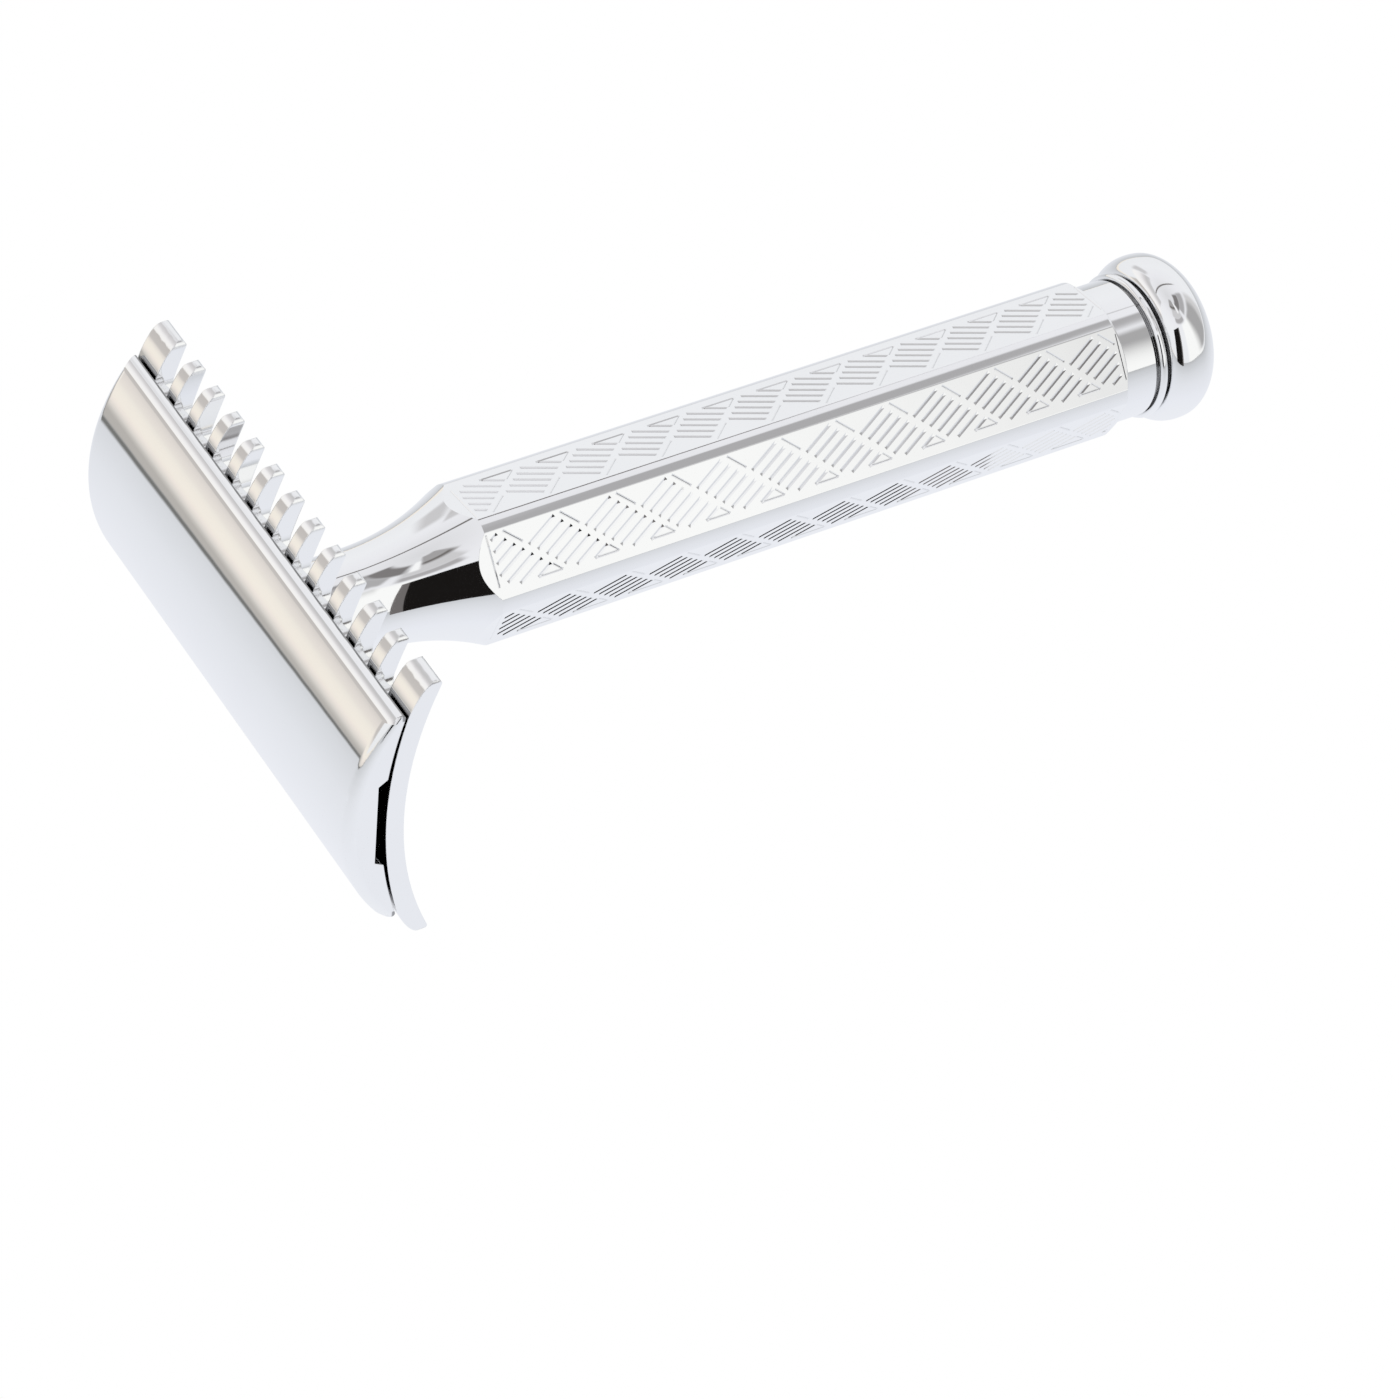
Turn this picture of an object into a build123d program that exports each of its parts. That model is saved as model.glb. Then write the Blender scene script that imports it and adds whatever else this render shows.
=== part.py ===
# Three-piece double-edge safety razor: open comb head on a hexagonal grip.
# Millimetres. Origin at the centre of the flat end face of the knob,
# +X runs up the handle to the head, Y along the blade edges, +Z up.
from build123d import *
import os
from math import sqrt

os.makedirs("parts", exist_ok=True)

# ---------------------------------------------------------------- dimensions
# Names in X_ or _X are stations along the handle axis, names in _Z half widths across the head.
X_KNOB_TOP = 5.32        # head-side face of the knob's rim
X_RING_0 = 5.57          # ring starts
X_RING_1 = 6.42          # ring ends, the collar of the grip starts
X_HEX_0 = 9.17           # hexagon starts
X_HEX_1 = 64.00          # corners of the hexagon end about here
X_NECK = 73.00           # the flare becomes a plain cylinder here
X_SEAT = 79.92           # end face of the neck, under the comb plate

# fits between the pieces
RADIAL_PLAY = 0.01       # spigot, stud and pins in their seats
SEAT_END_GAP = 0.05      # stud and pins stop short of the bottom of their seats

# hexagonal grip
HEX_APOTHEM = 5.575      # half of the width across flats
HEX_EDGE_CUT = 0.65      # chamfer on the six long edges
HEX_ANGLE = 38.5         # direction of one flat, from +Y towards +Z
TURN_START_X = X_HEX_0 - 0.01  # the turned bar overlaps the collar slightly
TURN_CLEAR_R = 7.2       # outside the hexagon's corners
COLLAR_R = 5.45          # plain round collar between hexagon and ring
COLLAR_CHAMFER = 0.12
NECK_R = 3.90            # cylinder under the head
NECK_CHAMFER = 0.15
FLARE_R = 18.5           # radius of the flare from the neck to the hexagon
FLARE_START_X = X_HEX_1 - 0.4

# knob and its spigot in the tail bore of the grip
KNOB_END_R = 2.60        # flat end face
KNOB_LAND_R = 5.20       # bottom of the groove beside the ring
SPIGOT_R = 3.00
SPIGOT_LEN = 9.0
SPIGOT_CHAMFER = 0.4
TAIL_BORE_LEN = 10.5
# domed outside of the knob after its end face: station, radius
KNOB_DOME = [
    (0.64, 4.40), (1.12, 5.38), (1.60, 5.97), (2.57, 6.56), (3.20, 6.64),
    (4.00, 6.58), (4.60, 6.36), (5.00, 6.06), (5.28, 5.62),
]

# ring: a bead on the knob side, a lower step on the grip side
RING_BORE_R = SPIGOT_R + 0.02
BEAD_R = 5.80            # crown of the bead
BEAD_FOOT_R = 5.40
BEAD_WIDTH = 0.62
RING_STEP_R = 5.15

# thread (drawn as plain cylinders at the working diameters)
STUD_R = 2.40            # outside of the cap stud
STUD_TIP_X = 70.30
STUD_TIP_CHAMFER = 0.6
STUD_COLLAR_R = 2.85     # collar against the recess floor of the cap
STUD_COLLAR_LEN = 0.42
BUSH_BORE_R = STUD_R + 0.05
BUSH_R = 3.00            # outside of the bush, pressed in the neck
BUSH_LEN = 11.0          # depth of its bore in the neck
BUSH_SUNK = 0.05         # bush face below the seat
BUSH_CHAMFER = 0.3
STUD_ROOM_R = STUD_R + 0.3
BORE_DEPTH = 14.0        # depth of the neck bore from the seat

# locating pins
PIN_R = 1.50
PIN_Y = 14.5
PIN_TIP_X = 80.25
PIN_CHAMFER = 0.35

# comb plate
COMB_LEN = 41.70         # along the blade edges
SADDLE_R = 36.50         # bending radius of the comb's blade side
SADDLE_X = 44.97         # axis of that radius
COMB_BACK_R = 30.80      # radius of the comb's handle side
COMB_BACK_CROWN_X = 80.10
COMB_SEAT_X = X_SEAT + 0.02  # flat round pad that meets the neck
COMB_SEAT_R = 4.30
COMB_PAD_LEN = 0.5
SPOT_FACE_DEPTH = 2
COMB_BEND_Z = 9.40       # the tooth tips start to curve down here
COMB_NOSE_Z = 11.60      # the rounded nose of the tips meets the handle side here
COMB_TIP_Z = 12.27       # half width over the tooth tips
# tooth tip, blade side then nose: station, half width
TIP_OUTSIDE = [(79.63, 10.85), (79.06, 11.72), (78.52, 12.15)]
TIP_NOSE = [(78.52, 12.15), (78.10, COMB_TIP_Z), (77.77, 12.08)]
TOOTH_PITCH = 3.10
SLOT_W = 1.90            # gap between teeth
SLOT_ROOT_Z = 9.20       # centre of the rounded slot root
SLOT_CUT_LEN = 6.0
N_SLOTS = 12
TOOTH_FILLET = 0.45
PLATE_FILLET = 0.22
COMB_CUT_X = 74          # outline and holes are cut from here
COMB_CUT_LEN = 10
STUD_HOLE_R = STUD_R + 0.08
PIN_HOLE_R = PIN_R + 0.07

# top cap
CAP_LEN = 41.50          # along the blade edges
CAP_CROWN_X = 84.56
CAP_CROWN_R = 16.5
CAP_CROWN_Z = 9.30       # the crown's arc ends here
# shoulder from the crown down to the rim: station, half width
CAP_SHOULDER = [(81.15, 9.66), (80.70, 9.90)]
CAP_RIM_MID = (80.43, 9.82)  # on the rounded lower edge of the rim
CAP_CLAMP_Z = 9.50       # the clamping face ends here
CAP_CLAMP_MID_Z = 7.0
CAP_RECESS_X = 82.18     # floor of the lengthwise recess under the cap
CAP_RECESS_Z = 3.75
CAP_MOUTH_Z = 4.20       # half width of the recess at its mouth
CAP_GAP_MOUTH = 0.25     # slit between cap and comb beside the recess
CAP_GAP_RIM = 0.14       # slit at the rim, where a blade's edge would lie
CAP_GAP_RIM_Z = 9.62
CAP_END_ROUND = 0.80     # rounding of the crown into the two end faces
STUD_SEAT_R = 2.0
STUD_SEAT_DEPTH = 1.5
PIN_SEAT_DEPTH = 1.2
SEAT_CUT_LEAD = 0.5      # the seat cuts start this far below the recess floor

# YZ plane whose local x is +Y and local y is +Z (normal +X)
ACROSS = Plane(origin=(0, 0, 0), x_dir=(0, 1, 0), z_dir=(1, 0, 0))
# XZ plane with local x = +X and local y = +Z (normal -Y)
SIDE = Plane(origin=(0, 0, 0), x_dir=(1, 0, 0), z_dir=(0, -1, 0))
AXIS = Axis((0, 0, 0), (1, 0, 0))


# ---------------------------------------------------------------- curves
def flare_radius(x):
    """Radius of the grip's flare at station x."""
    return NECK_R + FLARE_R - sqrt(FLARE_R ** 2 - (X_NECK - x) ** 2)


def saddle(z):
    """Station of the comb's blade side at height z."""
    return SADDLE_X + sqrt(SADDLE_R ** 2 - z * z)


def comb_back(z):
    """Station of the comb's handle side at height z."""
    return COMB_BACK_CROWN_X - COMB_BACK_R + sqrt(COMB_BACK_R ** 2 - z * z)


def crown(z):
    """Station of the cap's crowned outside at height z."""
    return CAP_CROWN_X - CAP_CROWN_R + sqrt(CAP_CROWN_R ** 2 - z * z)


def cap_under(z):
    """Station of the cap's clamping face at height z: the slit narrows towards the rim."""
    share = (z - CAP_MOUTH_Z) / (CAP_GAP_RIM_Z - CAP_MOUTH_Z)
    return saddle(z) + CAP_GAP_MOUTH + (CAP_GAP_RIM - CAP_GAP_MOUTH) * share


def on_side(side, points):
    """The (station, half width) points on the +Z (1) or -Z (-1) side."""
    return [(x, side * z) for x, z in points]


# ---------------------------------------------------------------- handle
def make_hex_grip():
    flare_mid_x = (FLARE_START_X + X_NECK) / 2
    flare_start = (FLARE_START_X, flare_radius(FLARE_START_X))
    with BuildPart() as grip:
        # hexagonal bar with its six long edges chamfered
        with BuildSketch(ACROSS.offset(X_HEX_0)) as hexagon:
            RegularPolygon(HEX_APOTHEM, 6, major_radius=False, rotation=HEX_ANGLE - 30)
            chamfer(hexagon.vertices(), HEX_EDGE_CUT)
        extrude(amount=X_SEAT - X_HEX_0)
        # turning the bar leaves the scalloped ends of the flats and the flared neck
        with BuildSketch(SIDE):
            with BuildLine():
                Polyline(
                    (TURN_START_X, 0),
                    (TURN_START_X, COLLAR_R),
                    (X_HEX_0 + 0.62, 6.24),
                    (X_HEX_0 + 0.9, TURN_CLEAR_R),
                    (FLARE_START_X, TURN_CLEAR_R),
                    flare_start,
                )
                ThreePointArc(
                    flare_start,
                    (flare_mid_x, flare_radius(flare_mid_x)),
                    (X_NECK, NECK_R),
                )
                Polyline(
                    (X_NECK, NECK_R),
                    (X_SEAT - NECK_CHAMFER, NECK_R),
                    (X_SEAT, NECK_R - NECK_CHAMFER),
                    (X_SEAT, 0),
                    (TURN_START_X, 0),
                )
            make_face()
        revolve(axis=AXIS, mode=Mode.INTERSECT)
        # plain round collar at the knob end
        with BuildSketch(ACROSS.offset(X_RING_1)):
            Circle(COLLAR_R)
        extrude(amount=X_HEX_0 - X_RING_1)
        collar_rim = grip.edges().filter_by(GeomType.CIRCLE).sort_by(Axis.X)[0]
        chamfer(collar_rim, COLLAR_CHAMFER)
        # bore of the neck: clearance for the stud, then the wider seat of the bush
        with BuildSketch(ACROSS.offset(X_SEAT - BORE_DEPTH)):
            Circle(STUD_ROOM_R)
        extrude(amount=BORE_DEPTH, mode=Mode.SUBTRACT)
        with BuildSketch(ACROSS.offset(X_SEAT - BUSH_LEN)):
            Circle(BUSH_R)
        extrude(amount=BUSH_LEN, mode=Mode.SUBTRACT)
        # tail bore for the spigot of the knob
        with BuildSketch(ACROSS.offset(X_RING_1)):
            Circle(SPIGOT_R)
        extrude(amount=TAIL_BORE_LEN, mode=Mode.SUBTRACT)
    return grip.part


def make_thread_bush():
    with BuildPart() as bush:
        with BuildSketch(ACROSS.offset(X_SEAT - BUSH_LEN)):
            Circle(BUSH_R)
            Circle(BUSH_BORE_R, mode=Mode.SUBTRACT)
        extrude(amount=BUSH_LEN - BUSH_SUNK)
        head_end = bush.edges().filter_by(GeomType.CIRCLE).group_by(Axis.X)[-1]
        chamfer(head_end.sort_by(SortBy.RADIUS)[0], BUSH_CHAMFER)
    return bush.part


def make_end_knob():
    spigot_r = SPIGOT_R - RADIAL_PLAY
    spigot_end_x = X_RING_0 + SPIGOT_LEN
    with BuildPart() as knob:
        with BuildSketch(SIDE):
            with BuildLine():
                Line((0, 0), (0, KNOB_END_R))
                Spline((0, KNOB_END_R), *KNOB_DOME, tangents=((0.12, 1.0), (0.30, -1.0)))
                Polyline(
                    KNOB_DOME[-1],
                    (X_KNOB_TOP, KNOB_LAND_R),
                    (X_RING_0, KNOB_LAND_R),
                    (X_RING_0, spigot_r),
                    (spigot_end_x - SPIGOT_CHAMFER, spigot_r),
                    (spigot_end_x, spigot_r - SPIGOT_CHAMFER),
                    (spigot_end_x, 0),
                    (0, 0),
                )
            make_face()
        revolve(axis=AXIS)
    return knob.part


def make_knob_ring():
    bead_end_x = X_RING_0 + BEAD_WIDTH
    with BuildPart() as ring:
        with BuildSketch(SIDE):
            with BuildLine():
                Line((X_RING_0, RING_BORE_R), (X_RING_0, BEAD_FOOT_R))
                ThreePointArc(
                    (X_RING_0, BEAD_FOOT_R),
                    (X_RING_0 + BEAD_WIDTH / 2, BEAD_R),
                    (bead_end_x, BEAD_FOOT_R),
                )
                Polyline(
                    (bead_end_x, BEAD_FOOT_R),
                    (bead_end_x, RING_STEP_R),
                    (X_RING_1, RING_STEP_R),
                    (X_RING_1, RING_BORE_R),
                    (X_RING_0, RING_BORE_R),
                )
            make_face()
        revolve(axis=AXIS)
    return ring.part


# ---------------------------------------------------------------- head
def make_comb_plate():
    bend_x = saddle(COMB_BEND_Z)
    nose_x = comb_back(COMB_NOSE_Z)
    with BuildPart() as comb:
        with BuildSketch(SIDE.offset(-COMB_LEN / 2)):
            with BuildLine():
                # blade side: a saddle bent about the Y direction
                ThreePointArc((bend_x, -COMB_BEND_Z), (saddle(0), 0), (bend_x, COMB_BEND_Z))
                # handle side: nearly parallel to it
                ThreePointArc(
                    (nose_x, -COMB_NOSE_Z), (COMB_BACK_CROWN_X, 0), (nose_x, COMB_NOSE_Z)
                )
                # tooth tips: curved down and rounded at the end
                for side in (1, -1):
                    Spline(
                        *on_side(side, [(bend_x, COMB_BEND_Z), *TIP_OUTSIDE]),
                        tangents=((-0.258, side), (-1.0, side * 0.45)),
                    )
                    Spline(
                        *on_side(side, [*TIP_NOSE, (nose_x, COMB_NOSE_Z)]),
                        tangents=((-1.0, side * 0.45), (0.41, -side)),
                    )
            make_face()
        extrude(amount=COMB_LEN)
        # plan outline: gaps with rounded roots on each side, rounded tooth corners
        with BuildSketch(ACROSS.offset(COMB_CUT_X)) as outline:
            Rectangle(COMB_LEN, 2 * COMB_TIP_Z)
            for side in (1, -1):
                with Locations((0, side * (SLOT_ROOT_Z + SLOT_CUT_LEN / 2))):
                    with GridLocations(TOOTH_PITCH, 1, N_SLOTS, 1):
                        Rectangle(SLOT_W, SLOT_CUT_LEN, mode=Mode.SUBTRACT)
                with Locations((0, side * SLOT_ROOT_Z)):
                    with GridLocations(TOOTH_PITCH, 1, N_SLOTS, 1):
                        Circle(SLOT_W / 2, mode=Mode.SUBTRACT)
            inside_ends = COMB_LEN / 2 - 0.1
            tips = outline.vertices().filter_by(lambda v: abs(abs(v.Y) - COMB_TIP_Z) < 0.01)
            fillet(tips.filter_by(lambda v: abs(v.X) < inside_ends), TOOTH_FILLET)
            plate_corners = outline.vertices().filter_by(lambda v: abs(v.X) > inside_ends)
            fillet(plate_corners, PLATE_FILLET)
        extrude(amount=COMB_CUT_LEN, mode=Mode.INTERSECT)
        # round pad and spot face: a flat seat for the end of the neck
        with BuildSketch(ACROSS.offset(COMB_SEAT_X)):
            Circle(COMB_SEAT_R)
        extrude(amount=COMB_PAD_LEN)
        with BuildSketch(ACROSS.offset(COMB_SEAT_X - SPOT_FACE_DEPTH)):
            Circle(COMB_SEAT_R)
        extrude(amount=SPOT_FACE_DEPTH, mode=Mode.SUBTRACT)
        # stud hole and the two pin holes
        with BuildSketch(ACROSS.offset(COMB_CUT_X)):
            Circle(STUD_HOLE_R)
            with Locations((PIN_Y, 0), (-PIN_Y, 0)):
                Circle(PIN_HOLE_R)
        extrude(amount=COMB_CUT_LEN, mode=Mode.SUBTRACT)
    return comb.part


def make_top_cap():
    crown_end = (crown(CAP_CROWN_Z), CAP_CROWN_Z)
    clamp_end = (cap_under(CAP_CLAMP_Z), CAP_CLAMP_Z)
    clamp_mid = (cap_under(CAP_CLAMP_MID_Z), CAP_CLAMP_MID_Z)
    mouth = (cap_under(CAP_MOUTH_Z), CAP_MOUTH_Z)
    recess_corner = (CAP_RECESS_X, CAP_RECESS_Z)
    with BuildPart() as cap:
        with BuildSketch(SIDE.offset(-CAP_LEN / 2)):
            with BuildLine():
                ThreePointArc(*on_side(-1, [crown_end]), (CAP_CROWN_X, 0), crown_end)
                for side in (1, -1):
                    Spline(
                        *on_side(side, [crown_end, *CAP_SHOULDER]),
                        tangents=((-0.9, side), (-1.0, side * 0.12)),
                    )
                    # rounded lower edge of the rim, clamping face, wall of the recess
                    ThreePointArc(*on_side(side, [CAP_SHOULDER[-1], CAP_RIM_MID, clamp_end]))
                    ThreePointArc(*on_side(side, [clamp_end, clamp_mid, mouth]))
                    Line(*on_side(side, [mouth, recess_corner]))
                Line(recess_corner, (CAP_RECESS_X, -CAP_RECESS_Z))
            make_face()
        extrude(amount=CAP_LEN)
        # softened edge where the crown meets the two end faces
        crown_ends = cap.edges().filter_by(GeomType.CIRCLE).group_by(SortBy.LENGTH)[-1]
        fillet(crown_ends, CAP_END_ROUND)
        # seats of the stud and of the two pins
        with BuildSketch(ACROSS.offset(CAP_RECESS_X - SEAT_CUT_LEAD)):
            Circle(STUD_SEAT_R)
        extrude(amount=SEAT_CUT_LEAD + STUD_SEAT_DEPTH, mode=Mode.SUBTRACT)
        with BuildSketch(ACROSS.offset(CAP_RECESS_X - SEAT_CUT_LEAD)):
            with Locations((PIN_Y, 0), (-PIN_Y, 0)):
                Circle(PIN_R)
        extrude(amount=SEAT_CUT_LEAD + PIN_SEAT_DEPTH, mode=Mode.SUBTRACT)
    return cap.part


def make_cap_stud():
    collar_x = CAP_RECESS_X - STUD_COLLAR_LEN
    root_r = STUD_SEAT_R - RADIAL_PLAY
    root_end_x = CAP_RECESS_X + STUD_SEAT_DEPTH - SEAT_END_GAP
    with BuildPart() as stud:
        with BuildSketch(SIDE):
            with BuildLine():
                Polyline(
                    (STUD_TIP_X, 0),
                    (STUD_TIP_X, STUD_R - STUD_TIP_CHAMFER),
                    (STUD_TIP_X + STUD_TIP_CHAMFER, STUD_R),
                    (collar_x, STUD_R),
                    (collar_x, STUD_COLLAR_R),
                    (CAP_RECESS_X, STUD_COLLAR_R),
                    (CAP_RECESS_X, root_r),
                    (root_end_x, root_r),
                    (root_end_x, 0),
                    (STUD_TIP_X, 0),
                )
            make_face()
        revolve(axis=AXIS)
    return stud.part


def make_pin(y):
    """Plain locating pin with a chamfered nose, centred at y on the comb's long axis."""
    with BuildPart() as pin:
        with BuildSketch(ACROSS.offset(PIN_TIP_X)):
            with Locations((y, 0)):
                Circle(PIN_R - RADIAL_PLAY)
        extrude(amount=CAP_RECESS_X + PIN_SEAT_DEPTH - SEAT_END_GAP - PIN_TIP_X)
        nose = pin.edges().filter_by(GeomType.CIRCLE).group_by(Axis.X)[0]
        chamfer(nose, PIN_CHAMFER)
    return pin.part


# ---------------------------------------------------------------- export
pieces = {
    "hex_grip": make_hex_grip(),
    "thread_bush": make_thread_bush(),
    "end_knob": make_end_knob(),
    "knob_ring": make_knob_ring(),
    "comb_plate": make_comb_plate(),
    "top_cap": make_top_cap(),
    "cap_stud": make_cap_stud(),
    "pin_left": make_pin(PIN_Y),
    "pin_right": make_pin(-PIN_Y),
}
for name, piece in pieces.items():
    piece.label = name
    export_step(piece, f"parts/{name}.step")
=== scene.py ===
"""A chromed safety razor lying on a pale sheet inside a light tent.

The handle's axis is X: the knob ends at x = 0, then come the ring, the hexagonal grip and
the head, whose cap lies past x = 80 mm. The floor passes under the knob and falls towards +X.
Profiles and pieces are given in millimetres, and the scene is in metres.
"""
import math
from collections import namedtuple

import bmesh
import bpy
from mathutils import Matrix, Vector
from mathutils.geometry import delaunay_2d_cdt

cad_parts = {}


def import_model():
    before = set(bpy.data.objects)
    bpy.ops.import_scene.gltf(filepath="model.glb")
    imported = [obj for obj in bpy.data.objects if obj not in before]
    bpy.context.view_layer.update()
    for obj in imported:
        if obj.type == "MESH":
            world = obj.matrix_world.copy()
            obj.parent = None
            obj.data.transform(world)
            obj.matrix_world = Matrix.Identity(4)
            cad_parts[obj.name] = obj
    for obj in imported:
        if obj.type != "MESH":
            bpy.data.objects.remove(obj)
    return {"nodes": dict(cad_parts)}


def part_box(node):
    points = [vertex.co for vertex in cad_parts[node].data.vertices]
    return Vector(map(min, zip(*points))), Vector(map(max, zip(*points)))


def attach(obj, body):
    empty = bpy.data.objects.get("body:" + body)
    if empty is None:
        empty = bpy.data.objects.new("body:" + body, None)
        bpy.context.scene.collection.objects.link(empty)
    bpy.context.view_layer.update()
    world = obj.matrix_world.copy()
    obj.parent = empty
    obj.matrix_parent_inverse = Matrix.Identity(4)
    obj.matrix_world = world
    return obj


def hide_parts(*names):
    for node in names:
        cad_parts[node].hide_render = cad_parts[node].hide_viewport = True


MM = 0.001
nodes_by_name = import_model()["nodes"]
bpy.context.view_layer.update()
scene = bpy.context.scene


def x_span(name):
    """A CAD piece's first and last x, in mm."""
    low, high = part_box(name)
    return low[0] / MM, high[0] / MM


# ------------------------------------------------------------------ shader helpers
def srgb(*display):
    """Display values 0-255 to linear."""
    shares = [v / 255.0 for v in display]
    return tuple(v / 12.92 if v <= 0.04045 else ((v + 0.055) / 1.055) ** 2.4 for v in shares)


class Tree:
    """Short-hand for building a shader tree. Values may be sockets or constants."""

    def __init__(self, owner):
        owner.use_nodes = True
        self.nodes = owner.node_tree.nodes
        self.links = owner.node_tree.links

    def new(self, kind, **settings):
        node = self.nodes.new(kind)
        for key, value in settings.items():
            setattr(node, key, value)
        return node

    def put(self, socket, value):
        if isinstance(value, bpy.types.NodeSocket):
            self.links.new(value, socket)
        elif socket.type == "RGBA":
            socket.default_value = (*value, 1.0)
        else:
            socket.default_value = value

    def math(self, operation, *values):
        node = self.new("ShaderNodeMath", operation=operation)
        for socket, value in zip(node.inputs, values):
            self.put(socket, value)
        return node.outputs[0]

    def times(self, first, *others):
        for other in others:
            first = self.math("MULTIPLY", first, other)
        return first

    def size(self, value):
        return self.math("ABSOLUTE", value)

    def dot(self, a, b):
        node = self.new("ShaderNodeVectorMath", operation="DOT_PRODUCT")
        self.put(node.inputs[0], a)
        self.put(node.inputs[1], b)
        return node.outputs["Value"]

    def fade(self, value, start, end):
        """Smooth 0 to 1 as the value goes from start to end, which may run downwards."""
        node = self.new("ShaderNodeMapRange", interpolation_type="SMOOTHSTEP", clamp=True)
        self.put(node.inputs["Value"], value)
        self.put(node.inputs["From Min"], start)
        self.put(node.inputs["From Max"], end)
        return node.outputs["Result"]

    def ramp(self, value, stops):
        """Colour ramp from rows of position and display red, green, blue."""
        node = self.new("ShaderNodeValToRGB")
        elements = node.color_ramp.elements
        while len(elements) < len(stops):
            elements.new(0.5)
        for element, (position, *display) in zip(elements, stops):
            element.position = position
            element.color = (*srgb(*display), 1.0)
        self.put(node.inputs[0], value)
        return node.outputs["Color"]

    def mix(self, factor, a, b):
        node = self.new("ShaderNodeMix", data_type="RGBA")
        self.put(node.inputs["Factor"], factor)
        self.put(node.inputs[6], a)
        self.put(node.inputs[7], b)
        return node.outputs[2]

    def noise(self, vector, scale, detail=2.0):
        node = self.new("ShaderNodeTexNoise")
        self.put(node.inputs["Vector"], vector)
        node.inputs["Scale"].default_value = scale
        node.inputs["Detail"].default_value = detail
        return node.outputs["Fac"]

    def scaled(self, vector, scale):
        node = self.new("ShaderNodeMapping")
        node.inputs["Scale"].default_value = scale
        self.put(node.inputs["Vector"], vector)
        return node.outputs["Vector"]

    def bump(self, height, strength, distance, normal=None):
        node = self.new("ShaderNodeBump")
        node.inputs["Strength"].default_value = strength
        node.inputs["Distance"].default_value = distance
        self.put(node.inputs["Height"], height)
        if normal is not None:
            self.put(node.inputs["Normal"], normal)
        return node.outputs["Normal"]

    def white_to_camera(self, colour):
        """The colour for camera rays only; white for every other ray is left to the caller."""
        path = self.new("ShaderNodeLightPath")
        return self.mix(path.outputs["Is Camera Ray"], colour, (1.0, 1.0, 1.0))


# ------------------------------------------------------------------ metals
SEAM_REACH = 0.40               # mm, how far from a wall the painted seam shade darkens the plating
# colour of the painted shade in seams and narrow slits
SEAM_SHADE = (0.34, 0.34, 0.345)

# The cap's long lips, in the cap's own frame: fades as (start, end), mm
LIP_EDGE_X = (80.64, 80.52)
LIP_EDGE_Z = (9.30, 9.40)
LIP_SHADE = (0.36, 0.36, 0.365)
RIM_X = (80.66, 80.72)
RIM_Y = (20.73, 20.67)
RIM_Z = (9.27, 9.30)
RIM_ARC_X = (81.69, 80.70)      # mm, from the rim's top to its lower end
RIM_ARC_TURN = (34.3, 83.2)     # degrees from +X to the normal, at those two places


def fade_mm(tree, value, span):
    return tree.fade(value, span[0] * MM, span[1] * MM)


def rim_normal(tree, x, y, z, normal):
    """True normals of the cap's narrow rounded rim, whose facets are long slivers."""
    turn = tree.new("ShaderNodeMapRange", clamp=True)
    tree.put(turn.inputs["Value"], x)
    limits = [v * MM for v in RIM_ARC_X] + [math.radians(v) for v in RIM_ARC_TURN]
    for i, limit in enumerate(limits):
        turn.inputs[i + 1].default_value = limit
    angle = turn.outputs["Result"]
    local = tree.new("ShaderNodeCombineXYZ")
    tree.put(local.inputs[0], tree.math("COSINE", angle))
    tree.put(local.inputs[2], tree.times(tree.math("SINE", angle), tree.math("SIGN", z)))
    world = tree.new("ShaderNodeVectorTransform", vector_type="NORMAL",
                     convert_from="OBJECT", convert_to="WORLD")
    tree.put(world.inputs[0], local.outputs[0])
    on_rim = tree.times(
        fade_mm(tree, tree.size(z), RIM_Z),
        fade_mm(tree, x, RIM_X),
        fade_mm(tree, tree.size(y), RIM_Y),
    )
    blend = tree.new("ShaderNodeMix", data_type="VECTOR")
    tree.put(blend.inputs["Factor"], on_rim)
    tree.put(blend.inputs[4], normal)
    tree.put(blend.inputs[5], world.outputs[0])
    unit = tree.new("ShaderNodeVectorMath", operation="NORMALIZE")
    tree.put(unit.inputs[0], blend.outputs[1])
    return unit.outputs[0]


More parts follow.
